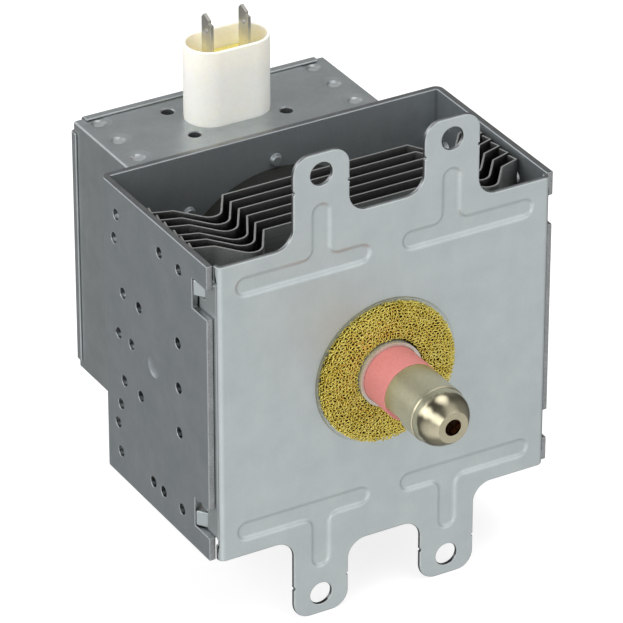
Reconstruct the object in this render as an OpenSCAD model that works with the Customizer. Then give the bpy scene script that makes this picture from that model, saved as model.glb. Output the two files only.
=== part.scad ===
// Microwave magnetron: vacuum tube with cooling fins, magnets, yoke and filter box.
// The origin is on the antenna's axis, on the front face of the mounting plate.
// The antenna points along -Y, +X is to the right, and the connector points up along +Z.

/* [Mounting plate] */
// Thickness of the pressed steel plate
plate_t = 1.2; // [1:0.1:1.8]
// Height of the plate beside its ears, which the yoke's walls share
plate_h = 79.2; // [74:0.2:86]
// Height of the plate between its ears
plate_mid_h = 89.4; // [87:0.2:98]
// Distance between the mounting holes across the plate
ear_pitch_x = 35; // [30:0.5:42]
// Distance between the mounting holes up the plate
ear_pitch_z = 113.7; // [108:0.1:124]
// Width of one ear
ear_w = 15; // [13:0.5:17]
// Distance from a mounting hole to the end of its ear
ear_end = 5.5; // [5:0.1:8]
// Diameter of a mounting hole
ear_hole_d = 5.8; // [4:0.1:6.6]
// Radius of the outer corners of an ear
ear_corner_r = 4.5; // [2:0.1:6]
// Radius of the fillets at the root of an ear
ear_root_r = 4.8; // [2:0.1:6]
// Inner radius of the plate's bent edges
plate_bend_in = 0.5; // [0.3:0.1:1.5]
// Depth of the bent edges behind the plate's face
flange_d = 9; // [8:0.2:11]
// Width of a stiffening bead
bead_w = 5.3; // [4:0.1:6]
// Depth of a stiffening bead
bead_depth = 0.65; // [0.3:0.05:0.9]

/* [Yoke] */
// Outer width of the yoke
yoke_w = 93.4; // [88:0.2:98]
// Distance from the plate's face to the yoke's back
yoke_d = 54; // [51:0.5:58]
// Thickness of the yoke's steel
yoke_t = 1.7; // [1.2:0.1:2]
// Distance from the plate's face to the front edge of the yoke's walls
yoke_setback = 2; // [1.6:0.1:3]
// Inner radius of the yoke's bends
yoke_bend_in = 0.4; // [0.2:0.1:2]
// Diameter of the round holes in the yoke's walls
wall_hole_d = 2.8; // [2:0.1:3.4]
// Height of a lock notch in a wall's front edge
notch_h = 7.8; // [7:0.1:9]
// Height of a lock tab on the plate's bent edge
tab_h = 4.1; // [3:0.1:5]

/* [Magnets] */
// Outer diameter of the front magnet
front_magnet_d = 49; // [44:0.5:53]
// Outer diameter of the rear magnet
rear_magnet_d = 60; // [52:0.5:64]
// Thickness of each magnet
magnet_t = 12; // [10:0.2:13.5]
// Diameter of the bore through each magnet
magnet_bore_d = 21; // [19:0.2:24]

/* [Tube] */
// Outer diameter of the anode cylinder
anode_d = 39; // [37:0.2:42]
// Wall of the anode cylinder
anode_wall = 2.5; // [2:0.1:3.2]
// Number of anode vanes
vane_count = 10; // [8:2:12]
// Thickness of a vane
vane_t = 2; // [1.4:0.1:2.2]
// Height of the vanes along the axis
vane_h = 9.5; // [8.5:0.1:10.5]
// Diameter of the circle that the vane tips leave free
vane_tip_d = 9; // [8.6:0.1:9.8]
// Thickness of the iron pole pieces
pole_t = 1.5; // [1:0.1:1.8]
// Thickness of the seal cups' sheet
seal_t = 0.5; // [0.4:0.05:0.7]
// Diameter of the filament's wire
filament_wire_d = 0.56; // [0.4:0.02:0.7]
// Diameter of the cathode leads
lead_d = 1.5; // [1.2:0.1:1.8]

/* [Antenna] */
// Diameter of the antenna ceramic
ceramic_d = 15.8; // [14.6:0.1:17]
// Distance from the plate's face to the front end of the ceramic
ceramic_reach = 11.8; // [9:0.1:14]
// Distance from the plate's face to the tip of the antenna
antenna_reach = 30.5; // [27:0.1:34]
// Diameter of the antenna cap
cap_d = 13.9; // [12.6:0.1:14.4]
// Diameter of the flat end of the cap's nose
nose_d = 8; // [7:0.1:9]
// Diameter of the hole in the cap's nose
nose_hole_d = 4; // [3:0.1:4.6]
// Distance from the plate's face to the front end of the metal sleeve round the ceramic
sleeve_reach = 2.7; // [2.4:0.1:4]
// Outer diameter of the wire gasket
gasket_d = 35.4; // [32:0.2:39]
// Thickness of the wire gasket
gasket_t = 1.6; // [1.4:0.1:2.4]

/* [Fins] */
// Thickness of a cooling fin
fin_t = 0.45; // [0.4:0.05:0.8]
// Distance between neighbouring fins
fin_pitch = 3.92; // [3.6:0.02:4.2]
// Distance from the front magnet to the middle of the first fin
fin_gap = 0.3; // [0.25:0.05:1]
// How far the wings of a fin dip to the front
fin_dip = 8.3; // [6.5:0.1:9]
// Distance of the fins below the edges of the yoke's walls
fin_inset = 1.5; // [0.8:0.1:3]

/* [Filter box] */
// Width of the filter box
box_w = 70; // [64:0.5:76]
// Height of the filter box
box_h = 68.8; // [64:0.2:74]
// Depth of the filter box behind the yoke
box_d = 36; // [34:0.2:40]
// Thickness of the box's sheet
box_t = 0.8; // [0.6:0.1:1]
// Thickness of the cover's sheet
cover_t = 0.5; // [0.4:0.05:0.8]
// Width of the cover's rim
cover_rim = 2.7; // [2.2:0.1:4]

/* [Connector] */
// Width of the oval connector case
case_w = 22.4; // [21:0.2:26]
// Depth of the oval connector case
case_d = 12.8; // [11.8:0.1:14]
// Height of the case above the filter box
case_h = 20; // [17:0.2:24]
// Wall of the connector case
case_wall = 0.8; // [0.6:0.1:1.4]
// Distance from the yoke's back to the middle of the case
case_offset = 22.4; // [21:0.2:24]
// Depth of the case above its resin floor
recess_d = 5.5; // [4.5:0.1:8]
// Width of a blade terminal
blade_w = 4.8; // [4:0.1:6.3]
// Thickness of a blade terminal
blade_t = 0.8; // [0.5:0.1:1]
// Distance between the two blade terminals
blade_pitch = 10.2; // [9.4:0.1:11]
// Height of the blades above the case's rim
blade_reach = 7.1; // [5:0.1:8]

/* [Hidden] */
$fn = 64;

// Gap left between sheets and pieces that nest
fit = 0.1;
// Overlap that makes cuts and joined shapes meet cleanly
bite = 0.5;

// Mounting plate
plate_w = yoke_w - 2 * yoke_t - 2 * fit;
plate_bend_r = plate_bend_in + plate_t;
flat_w = plate_w - 2 * plate_bend_r;
ear_x = ear_pitch_x / 2;
ear_z = ear_pitch_z / 2;
ear_tip_z = ear_z + ear_end;
flange_clip = 5;
flange_half_h = plate_h / 2 - flange_clip;
lip_d = plate_bend_r + plate_t / 2;
relief_r = 1;
seat_margin = 1.5;
seat_depth = 0.12;
seat_draft = 0.4;
seat_r = gasket_d / 2 + seat_margin;
shear_mark_r = 0.4;
shear_mark_drop = 3.3;
shear_mark_z = ear_z - shear_mark_drop;

// Beads
bead_side = 0.5;
bead_draft = 0.8;
bead_root_r = 2.2;
bead_edge_gap = 4;
bead_side_gap = 4.6;
bead_centre_gap = 4.1;
bead_hole_gap = 4.6;
bead_z = plate_h / 2 - bead_edge_gap - bead_w / 2;
bead_end_z = ear_z - ear_hole_d / 2 - bead_hole_gap;

// Yoke and its locks
wall_in = yoke_w / 2 - yoke_t;
yoke_in_y = yoke_d - yoke_t;
yoke_bend_r = yoke_bend_in + yoke_t;
finger_h = 6.2;
notch_top = plate_h / 2 - finger_h;
notch_gap = 0.1;
notch_end = flange_d + notch_gap;
tab_len = 3;
tab_root = flange_d - tab_len;
tab_drop = 8.5;
tab_z = plate_h / 2 - tab_drop;
tab_slit = 0.4;
tab_tip_gap = 0.4;
dimple_back = 25.6;
dimple_y = yoke_d - dimple_back;
dimple_d = 5.6;
dimple_depth = 0.8;
hole_row_drop = 7.2;
hole_row = plate_h / 2 - hole_row_drop;
// Holes near the walls' front edges, as distance behind the plate's face and height
front_holes = [[15.6, hole_row], [25, hole_row], [16.4, 12.5], [16.3, 0.4], [16.2, -11.7],
    [15.4, -hole_row], [24.6, -hole_row], [29.7, -hole_row]];
// Holes near the yoke's back, as distance in front of it and height
rear_holes = [[7.7, hole_row], [6.4, 25.6], [18.4, 12.5], [10.4, 12.5], [14.4, 0.5], [7.9, 0.5],
    [18.7, -11.6], [10.4, -11.5], [8.4, -18.9], [6.8, -24.8], [8, -hole_row]];
wall_holes = concat(front_holes, [for (h = rear_holes) [yoke_d - h[0], h[1]]]);
pip_r = 1.8;
pip_h = 1;
pip_gap = 0.1;
corner_pip_gap = 3.6;

// Tube along its axis
tube_y0 = plate_t + magnet_t;
tube_y1 = yoke_in_y - magnet_t;
tube_mid = (tube_y0 + tube_y1) / 2;
anode_r = anode_d / 2;
anode_bore_r = anode_r - anode_wall;
step_r = anode_bore_r + anode_wall / 2;
seal_flange_t = 0.8;
end_step = seal_flange_t + pole_t;
vane_y0 = tube_mid - vane_h / 2;
vane_y1 = tube_mid + vane_h / 2;
vane_gap = 1.45;
pole_dip = vane_y0 - vane_gap - tube_y0 - end_step;
pole_bore_gap = 0.4;
pole_bore_r = vane_tip_d / 2 + pole_bore_gap;
pole_face_w = 3.6;
pole_face_r = pole_bore_r + pole_face_w;
pole_cone_w = 4.6;
pole_shoulder_r = pole_face_r + pole_cone_w;
pole_hole_gap = 1.8;
seal_gap = 0.8;
seal_body_r = magnet_bore_d / 2 - seal_gap;
sleeve_wall = 0.85;
sleeve_r = ceramic_d / 2 + fit / 2 + sleeve_wall;
tube_hole_gap = 0.4;
tube_hole_r = max(seal_body_r, sleeve_r) + tube_hole_gap;
seal_cone_gap = 1;
seal_cone_y = plate_t + seal_cone_gap;
ceramic_seat_y = 0.6;
ceramic_seat_t = 1;
strap_h = 1.2;
strap_w = 0.8;
strap_gap = 0.8;
strap_clear = 0.45;
strap_step = 1.8;
strap_r = vane_tip_d / 2 + strap_step;

// Cathode
hat_t = 1.2;
hat_gap = 0.25;
hat_clear = 0.8;
hat_r = pole_bore_r - hat_clear;
lead_clear = 0.4;
hat_hole_r = lead_d / 2 + lead_clear;
front_hat_y = vane_y0 - hat_gap - hat_t;
rear_hat_y = vane_y1 + hat_gap;
filament_turns = 8;
filament_gap = 0.35;
filament_r = hat_hole_r + filament_wire_d / 2 + filament_gap;
stem_pin_x = hat_r - lead_d / 2;
stem_stand = 4;
stem_y0 = yoke_d + stem_stand;
stem_plug = 2;
stem_len = 8;
stem_y1 = stem_y0 + stem_len;
lead_tail = 2.5;
lead_end_y = stem_y1 + lead_tail;
lead_bend_gap = 3;
lead_bend_y = tube_y1 + lead_bend_gap;
lead_sides = 12;

// Antenna
ceramic_wall = 2.6;
ceramic_bore_r = ceramic_d / 2 - ceramic_wall;
cap_r = cap_d / 2;
cap_wall = 0.55;
nose_len = 6.9;
shoulder_y = nose_len - antenna_reach;
shoulder_step = 0.25;
nose_bulge = 0.88;
nose_edge = 0.25;
nose_wall = 0.8;
// Slot in the cap's rear edge, as angles from +X towards +Z
slot_start = 194.5;
slot_end = 245;
slot_len = 6.4;
tube_flange_t = 0.8;
exhaust_r = 3.2;
exhaust_wall = 0.6;
pinch_gap = 3.4;
pinch_y = shoulder_y + pinch_gap;
pinch_len = 4;
pinch_edge = 1;
antenna_lead_r = 1;
antenna_lead_gap = 2;
antenna_lead_x = pole_face_r + antenna_lead_gap;
antenna_bend_in = 5.4;
antenna_bend_y = tube_y0 + antenna_bend_in;
antenna_axis_out = 5.6;
antenna_axis_y = tube_y0 - antenna_axis_out;

// Gasket's section
gasket_clear = 0.05;
gasket_in_r = sleeve_r + gasket_clear;
gasket_r = gasket_d / 2;
gasket_rows = 8;
gasket_row_h = 0.3;
gasket_edge = 0.5;
gasket_dome = 0.5;

// Fins: the folds of a wing lie at fixed shares of its width
fin_y0 = tube_y0 + fin_gap;
fin_h = plate_h - 2 * fin_inset;
fin_mid_gap = 0.7;
fin_mid_x = front_magnet_d / 2 + fin_mid_gap;
fin_wall_gap = 1.1;
fin_end_x = wall_in - fin_wall_gap;
wing_w = fin_end_x - fin_mid_x;
trough_share = 0.357;
trough_x = fin_mid_x + trough_share * wing_w;
trough_r_share = 0.16;
trough_r = trough_r_share * wing_w;
trough_turn = 55;
trough_facets = 5;
kink_share = 0.733;
kink_x = fin_mid_x + kink_share * wing_w;
kink_drop = 1.1;
wing_end_rise = 0.5;
// Turned-back tail at the end of a wing, inwards and backwards
wing_tail = [-0.6, 2.6];
collar_share = 0.55;
collar_h = collar_share * fin_pitch;
collar_wall = 0.6;
// Set of each fin's left wing after pressing, front fin first
wing_set = [0, -0.1, -0.65, 0, -0.1, 0];

// Filter box
box_y1 = yoke_d + box_d;
box_top = box_h / 2;
box_r = 2;
clinch_side = 5;
clinch_x = box_w / 2 - clinch_side;
clinch_end = 3.6;
clinch_pitch = 10.2;
clinch_r = 3.4;
clinch_depth = 0.25;
clinch_pit_r = 1.9;
clinch_pit_depth = 0.6;
clinch_pit_draft = 0.6;

// Filter cover
rim_corner = 2.6;
cover_bend_r = 1.2;
cover_seat = 0.45;
cover_y1 = box_y1 + cover_seat + cover_t;
cover_x = box_w / 2 + fit + cover_t;
cover_z = box_top + fit + cover_t;

// Connector
case_y = yoke_d + case_offset;
case_top = box_top + case_h;
flange_z = box_top - box_t;
flange_t = 0.8;
flange_margin = 7;
case_foot = 10;
case_bottom = box_top - case_foot;
ledge = 1;
ledge_t = 1.5;
block_h = 12;
blade_top = case_top + blade_reach;
blade_tail = 4;
blade_bottom = case_bottom - blade_tail;
blade_cut = 1.1;
blade_slope = 1;
blade_step = 1.3;
blade_step_drop = 1.9;
blade_hole_d = 1.6;
blade_hole_drop = 3.9;
blade_x = blade_pitch / 2;
burr_hole_r = 1.6;
burr_wall = 0.35;
burr_r = burr_hole_r + burr_wall;
burr_lip = 0.4;
burr_lip_t = 0.4;
burr_edge = 0.3;
// Each burred hole lies on a slant from the middle of the case's round end
burr_angle = 41;
burr_gap = 0.75;
burr_reach = case_d / 2 + ledge + burr_r + burr_lip + burr_gap;
burr_x = (case_w - case_d) / 2 + burr_reach * cos(burr_angle);
burr_y = burr_reach * sin(burr_angle);

// Chokes
wire_r = 0.7;
wire_sides = 6;
core_r = 2.5;
core_len = 30;
coil_gap = 0.2;
coil_r = core_r + coil_gap + wire_r;
coil_turns = 10.5;
coil_steps = 10;
coil_pitch = 2.2;
coil_x = 17;
coil_back = 1;
coil_y = case_y + coil_back;
coil_z = -12;
coil_top = coil_z + coil_turns * coil_pitch;
core_overhang = (core_len - coil_turns * coil_pitch) / 2;
// Where the choke's wire meets its blade
touch_x = blade_x + blade_t / 2;
touch_z = blade_bottom + blade_tail / 2;
// Bends of the choke's wire before and after the coil
wire_stub = 3;
lead_in = [[stem_pin_x, lead_end_y, 0], [stem_pin_x, lead_end_y + wire_stub, 0],
    [stem_pin_x + wire_stub, coil_y - coil_r - wire_r, coil_z / 3],
    [coil_x - 2 * coil_r, coil_y - coil_r, 4 * coil_z / 5]];
lead_out = [[coil_x - 2 * wire_stub, coil_y + coil_r - wire_r, (coil_top + touch_z) / 2],
    [touch_x + wire_stub, case_y + coil_back, touch_z - wire_r], [touch_x + wire_stub / 2, case_y, touch_z],
    [touch_x, case_y, touch_z]];

// Turns children so that their height runs along +Y
module along_y() {
    rotate([-90, 0, 0])
        children();
}

// Sheet with an outline drawn in X and Z, from y0 backwards
module sheet(y0, t) {
    translate([0, y0 + t, 0])
        rotate([90, 0, 0])
            linear_extrude(t)
                children();
}

// Body turned round the antenna's axis, from points of radius and Y
module turned(points) {
    along_y()
        rotate_extrude()
            polygon(points);
}

// Ring round the antenna's axis
module ring(r_out, r_in, y0, y1) {
    turned([[r_in, y0], [r_out, y0], [r_out, y1], [r_in, y1]]);
}

// Copies children to all four quarters of the plate
module quarters() {
    for (side = [0, 1], end = [0, 1])
        mirror([side, 0, 0])
            mirror([0, 0, end])
                children();
}

// Copies children to the left and the right
module both_sides() {
    for (side = [0, 1])
        mirror([side, 0, 0])
            children();
}

// Oval with straight long sides, w wide and d deep
module stadium(w, d) {
    square([w - d, d], center = true);
    for (s = [-1, 1])
        translate([s * (w - d) / 2, 0])
            circle(d / 2);
}

// Rectangle with round corners
module rounded_rect(w, h, r) {
    square([w - 2 * r, h], center = true);
    square([w, h - 2 * r], center = true);
    for (i = [-1, 1], j = [-1, 1])
        translate([i * (w / 2 - r), j * (h / 2 - r)])
            circle(r);
}

function unit(v) = v / norm(v);
function left_of(d) = [-d.y, d.x];
// Corner of a folded strip's side, s to the left of the strip's middle line
function fold_corner(p, i, s) =
    let (last = len(p) - 1)
    let (a = left_of(unit(p[min(i + 1, last)] - p[min(i, last - 1)])))
    let (b = left_of(unit(p[max(i, 1)] - p[max(i - 1, 0)])))
    let (m = unit(a + b))
    p[i] + m * s / (m * a);

// Outline of a strip of thickness t, folded along the points p
module folded_strip(p, t) {
    last = len(p) - 1;
    polygon(concat(
        [for (i = [0:last]) fold_corner(p, i, t / 2)],
        [for (i = [last:-1:0]) fold_corner(p, i, -t / 2)]));
}

// Wire of radius r with n sides, swept along the points p
module swept_wire(p, r, n) {
    last = len(p) - 1;
    rings = [for (i = [0:last])
        let (t = unit(p[min(i + 1, last)] - p[max(i - 1, 0)]))
        let (u = unit(cross(t, [0, 0, 1])))
        let (v = cross(t, u))
        for (k = [0:n - 1]) p[i] + r * (cos(360 * k / n) * u + sin(360 * k / n) * v)];
    near_sides = [for (i = [0:last - 1], k = [0:n - 1])
        [i * n + k, i * n + (k + 1) % n, (i + 1) * n + (k + 1) % n]];
    far_sides = [for (i = [0:last - 1], k = [0:n - 1])
        [i * n + k, (i + 1) * n + (k + 1) % n, (i + 1) * n + k]];
    first_end = [[for (k = [n - 1:-1:0]) k]];
    last_end = [[for (k = [0:n - 1]) last * n + k]];
    polyhedron(rings, concat(near_sides, far_sides, first_end, last_end));
}

// One ear with its root fillets, in the upper right quarter
module ear_outline() {
    half = ear_w / 2;
    translate([ear_x - half, 0])
        square([ear_w, ear_tip_z - ear_corner_r]);
    translate([ear_x - half + ear_corner_r, 0])
        square([ear_w - 2 * ear_corner_r, ear_tip_z]);
    for (s = [-1, 1])
        translate([ear_x + s * (half - ear_corner_r), ear_tip_z - ear_corner_r])
            circle(ear_corner_r);
    for (root = [[-1, plate_mid_h / 2], [1, plate_h / 2]])
        translate([ear_x + root[0] * half, root[1]])
            mirror([root[0] < 0 ? 1 : 0, 0])
                difference() {
                    translate([-bite, -bite])
                        square(ear_root_r + bite);
                    translate([ear_root_r, ear_root_r])
                        circle(ear_root_r);
                }
}

// The flat outline of the plate, without its bent edges
module plate_outline() {
    square([flat_w, plate_h], center = true);
    square([2 * ear_x, plate_mid_h], center = true);
    for (sx = [0, 1], sz = [0, 1])
        mirror([sx, 0])
            mirror([0, sz])
                ear_outline();
}

// Section of the right bent edge down to depth d, drawn in X and Y
module bent_edge(d) {
    x = plate_w / 2 - plate_bend_r;
    intersection() {
        translate([x, plate_bend_r])
            difference() {
                circle(plate_bend_r);
                circle(plate_bend_in);
            }
        translate([x, 0])
            square(plate_bend_r);
    }
    translate([plate_w / 2 - plate_t, plate_bend_r])
        square([plate_t, d - plate_bend_r]);
}

// Straight bead that sinks along Z from the origin, with round ends
module bead_run(length, w) {
    rotate([90, 0, 90])
        linear_extrude(length)
            polygon([
                [-w / 2 - bead_draft, -bead_depth],
                [w / 2 + bead_draft, -bead_depth],
                [w / 2 - bead_draft, bead_depth],
                [-w / 2 + bead_draft, bead_depth]]);
    for (x = [0, length])
        translate([x, 0, -bead_depth])
            cylinder(h = 2 * bead_depth, r1 = w / 2 + bead_draft, r2 = w / 2 - bead_draft);
}

// Fillet between the bar and the stem of a bead
module bead_root(w) {
    c = w / 2 + bead_root_r;
    difference() {
        translate([0, 0, -bead_depth])
            cube([c, c, 2 * bead_depth]);
        translate([c, c, -bead_depth])
            cylinder(h = 2 * bead_depth, r1 = bead_root_r - bead_draft, r2 = bead_root_r + bead_draft);
    }
}

// T-shaped bead in the upper right quarter, w wide at the face y0
module t_bead(y0, w) {
    bar_start = bead_centre_gap + bead_w / 2;
    bar_end = plate_w / 2 - bead_side_gap - bead_w / 2;
    translate([0, y0, bead_z])
        along_y() {
            translate([bar_start, 0, 0])
                bead_run(bar_end - bar_start, w);
            translate([ear_x, 0, 0])
                rotate(-90)
                    bead_run(bead_end_z - bead_w / 2 - bead_z, w);
            translate([ear_x, 0, 0])
                for (side = [0, 1])
                    mirror([side, 0, 0])
                        mirror([0, 1, 0])
                            bead_root(w);
        }
}

// Lock tab in the upper right quarter, pushed outwards through the yoke's notch
module lock_tab() {
    root = [plate_w / 2, tab_root];
    tip = [yoke_w / 2, notch_end - tab_tip_gap];
    through = [plate_t / unit(tip - root).y, 0];
    anchor = [0, bite];
    root_in = root - [plate_t, 0];
    translate([0, 0, tab_z - tab_h / 2])
        linear_extrude(tab_h)
            polygon([root - anchor, root, tip, tip - through, root_in, root_in - anchor]);
}

// Pressed steel plate with ears, beads, bent edges and lock tabs
module mounting_plate() {
    color("#ACB4B4") {
        difference() {
            union() {
                sheet(0, plate_t)
                    plate_outline();
                both_sides() {
                    linear_extrude(2 * flange_half_h, center = true)
                        bent_edge(flange_d);
                    linear_extrude(plate_h, center = true)
                        bent_edge(lip_d);
                }
                quarters()
                    t_bead(plate_t, bead_w + 2 * bead_side);
            }
            quarters()
                t_bead(0, bead_w);
            along_y() {
                translate([0, 0, -seat_depth])
                    cylinder(h = 2 * seat_depth, r1 = seat_r + seat_draft, r2 = seat_r - seat_draft);
                translate([0, 0, -bite])
                    cylinder(h = plate_t + 2 * bite, r = tube_hole_r);
                for (x = [-ear_x, ear_x], z = [-ear_z, ear_z])
                    translate([x, z, -bite])
                        cylinder(h = plate_t + 2 * bite, d = ear_hole_d);
                for (x = [-ear_x, ear_x], z = [-shear_mark_z, shear_mark_z], s = [-1, 1])
                    translate([x + s * ear_w / 2, z, -bite])
                        cylinder(h = plate_t + 2 * bite, r = shear_mark_r);
            }
            quarters() {
                translate([plate_w / 2 - 2 * plate_t, tab_root, tab_z - tab_h / 2 - tab_slit])
                    cube([3 * plate_t, flange_d, tab_h + 2 * tab_slit]);
                translate([plate_w / 2 - 2 * plate_t, lip_d, flange_half_h])
                    rotate([0, 90, 0])
                        cylinder(h = 3 * plate_t, r = relief_r);
            }
        }
        quarters()
            lock_tab();
    }
}

// Outline of a U with its bends at the back, drawn in X and Y
module u_outline(w, y1, r) {
    translate([-w / 2, yoke_setback])
        square([w, y1 - r - yoke_setback]);
    translate([-w / 2 + r, yoke_setback])
        square([w - 2 * r, y1 - yoke_setback]);
    for (s = [-1, 1])
        translate([s * (w / 2 - r), y1 - r])
            circle(r);
}

// U-shaped steel yoke that closes the magnets' field and holds the fins
module yoke() {
    dimple_r = (dimple_d * dimple_d / 4 + dimple_depth * dimple_depth) / (2 * dimple_depth);
    corner_pip = (rear_magnet_d / 2 + corner_pip_gap) * sin(45);
    color("#73797C") {
        difference() {
            linear_extrude(plate_h, center = true)
                difference() {
                    u_outline(yoke_w, yoke_d, yoke_bend_r);
                    translate([0, -bite])
                        u_outline(2 * wall_in, yoke_in_y + bite, yoke_bend_in);
                }
            quarters()
                translate([wall_in - bite, 0, notch_top - notch_h])
                    cube([yoke_t + 2 * bite, notch_end, notch_h]);
            for (h = wall_holes)
                translate([-yoke_w / 2 - bite, h[0], h[1]])
                    rotate([0, 90, 0])
                        cylinder(h = yoke_w + 2 * bite, d = wall_hole_d);
            both_sides()
                translate([yoke_w / 2 + dimple_r - dimple_depth, dimple_y, 0])
                    sphere(dimple_r);
            translate([0, yoke_in_y - bite, 0])
                along_y()
                    cylinder(h = yoke_t + 2 * bite, r = tube_hole_r);
        }
        translate([0, yoke_in_y - pip_h, 0])
            along_y() {
                for (z = [-1, 1])
                    translate([0, z * (rear_magnet_d / 2 + pip_r + pip_gap), 0])
                        cylinder(h = pip_h + bite, r1 = pip_r - pip_h / 2, r2 = pip_r);
                for (x = [-1, 1], z = [-1, 1])
                    translate([x * corner_pip, z * corner_pip, 0])
                        cylinder(h = pip_h + bite, r1 = pip_r - pip_h / 2, r2 = pip_r);
            }
    }
}

// Ferrite ring between the plate and the tube
module front_magnet() {
    color("#2F3234")
        ring(front_magnet_d / 2, magnet_bore_d / 2, plate_t, tube_y0);
}

// Ferrite ring between the tube and the yoke's back
module rear_magnet() {
    color("#2F3234")
        ring(rear_magnet_d / 2, magnet_bore_d / 2, tube_y1, yoke_in_y);
}

// Knitted wire ring that seals the tube against the oven: a rounded pad with rows of stitches
module rf_gasket() {
    back = seat_depth;
    front = seat_depth - gasket_t;
    row_w = (gasket_r - gasket_edge - gasket_in_r) / gasket_rows;
    steps = 4;
    rows = [for (i = [0:gasket_rows * steps])
        let (across = 2 * i / (gasket_rows * steps) - 1)
        [gasket_in_r + i * row_w / steps,
            front + gasket_dome * across * across + gasket_row_h * (1 - abs(sin(180 * i / steps)))]];
    edge = [for (a = [0:15:90])
        [gasket_r - gasket_edge + gasket_edge * sin(a),
            front + gasket_dome + gasket_row_h + gasket_edge * (1 - cos(a))]];
    color("#B89B2E")
        turned(concat(rows, edge, [[gasket_r, back], [gasket_in_r, back]]));
}

// Thin cup that joins the anode to the antenna ceramic, and shows as a sleeve round its foot
module front_seal_cup() {
    ceramic_r = ceramic_d / 2 + fit / 2;
    color("#C9CBC8")
        turned([
            [step_r - fit, tube_y0],
            [step_r - fit, tube_y0 + seal_flange_t],
            [seal_body_r - seal_t, tube_y0 + seal_flange_t],
            [seal_body_r - seal_t, seal_cone_y],
            [ceramic_r - ceramic_seat_t, ceramic_seat_y + ceramic_seat_t],
            [ceramic_r - ceramic_seat_t, ceramic_seat_y],
            [ceramic_r, ceramic_seat_y],
            [ceramic_r, -sleeve_reach],
            [sleeve_r, -sleeve_reach],
            [sleeve_r, ceramic_seat_y + ceramic_seat_t / 2],
            [seal_body_r, seal_cone_y + seal_t],
            [seal_body_r, tube_y0]]);
}

// Thin cup that joins the anode to the stem
module rear_seal_cup() {
    color("#C9CBC8")
        turned([
            [step_r - fit, tube_y1],
            [seal_body_r, tube_y1],
            [seal_body_r, stem_y0],
            [seal_body_r - seal_t, stem_y0],
            [seal_body_r - seal_t, tube_y1 - seal_flange_t],
            [step_r - fit, tube_y1 - seal_flange_t]]);
}

// Alumina cylinder that carries the antenna cap
module antenna_ceramic() {
    color("#DE8080")
        ring(ceramic_d / 2, ceramic_bore_r, -ceramic_reach, ceramic_seat_y);
}

// Drawn cap over the exhaust tube, with a bulged nose and a slot in its rear edge
module antenna_cap() {
    nose_r = nose_d / 2;
    tip = -antenna_reach;
    start_r = cap_r - shoulder_step;
    nose_end_y = tip + nose_edge;
    steps = 8;
    nose = [for (i = [0:steps])
        let (t = i / steps)
        [start_r + (nose_r - start_r) * t + nose_bulge * sin(180 * t),
            shoulder_y - shoulder_step + (nose_end_y - shoulder_y + shoulder_step) * t]];
    slot_r = 2 * cap_r;
    slot_mid = (slot_start + slot_end) / 2;
    color("#A39C8C")
        difference() {
            turned(concat(
                [[cap_r - cap_wall, -ceramic_reach], [cap_r, -ceramic_reach], [cap_r, shoulder_y]],
                nose,
                [[nose_r - nose_edge, tip],
                    [nose_hole_d / 2, tip],
                    [nose_hole_d / 2, tip + nose_wall],
                    [nose_r - cap_wall, tip + nose_wall],
                    [cap_r - cap_wall, shoulder_y]]));
            sheet(-ceramic_reach - slot_len, slot_len + bite)
                polygon(concat([[0, 0]],
                    [for (a = [slot_start, slot_mid, slot_end]) slot_r * [cos(a), sin(a)]]));
        }
}

// Copper tube that was pinched shut after the tube was pumped out
module exhaust_tube() {
    color("#B87348") {
        turned([
            [exhaust_r - exhaust_wall, -ceramic_reach],
            [cap_r - cap_wall - fit, -ceramic_reach],
            [cap_r - cap_wall - fit, -ceramic_reach - tube_flange_t],
            [exhaust_r, -ceramic_reach - tube_flange_t],
            [exhaust_r, pinch_y],
            [exhaust_r - exhaust_wall, pinch_y]]);
        intersection() {
            ring(exhaust_r, 0, pinch_y - pinch_len, pinch_y);
            translate([-exhaust_r, 0, 0])
                rotate([90, 0, 90])
                    linear_extrude(2 * exhaust_r)
                        polygon([
                            [pinch_y, -exhaust_r],
                            [pinch_y, exhaust_r],
                            [pinch_y - pinch_len, pinch_edge / 2],
                            [pinch_y - pinch_len, -pinch_edge / 2]]);
        }
    }
}

// Copper rod from one vane to the pinched end of the exhaust tube
module antenna_lead() {
    path = [[antenna_lead_x, vane_y0, 0], [antenna_lead_x, antenna_bend_y, 0], [0, antenna_axis_y, 0],
        [0, pinch_y, 0]];
    color("#B87348")
        swept_wire(path, antenna_lead_r, lead_sides);
}

// Copper cylinder with a step at each end for the pole piece and the seal cup
module anode_cylinder() {
    color("#B5714A")
        turned([
            [anode_r, tube_y0],
            [anode_r, tube_y1],
            [step_r, tube_y1],
            [step_r, tube_y1 - end_step],
            [anode_bore_r, tube_y1 - end_step],
            [anode_bore_r, tube_y0 + end_step],
            [step_r, tube_y0 + end_step],
            [step_r, tube_y0]]);
}

// Copper vanes, with grooves that each touch one strap ring of a pair and clear the other
module anode_vanes() {
    tip_r = vane_tip_d / 2;
    color("#B5714A")
        for (i = [0:vane_count - 1])
            rotate([0, 360 * i / vane_count, 0])
                difference() {
                    intersection() {
                        translate([tip_r, vane_y0, -vane_t / 2])
                            cube([anode_bore_r, vane_h, vane_t]);
                        ring(anode_bore_r, tip_r / 2, vane_y0 - bite, vane_y1 + bite);
                    }
                    for (k = [0, 1]) {
                        touches = (i + k) % 2 == 0;
                        slack = touches ? 0 : strap_clear;
                        r = strap_r + k * (strap_w + strap_gap);
                        ring(r + strap_w + strap_clear / 2, r - strap_clear / 2, vane_y0 - bite,
                            vane_y0 + strap_h + slack);
                        ring(r + strap_w + strap_clear / 2, r - strap_clear / 2,
                            vane_y1 - strap_h - slack, vane_y1 + bite);
                    }
                }
}

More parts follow.
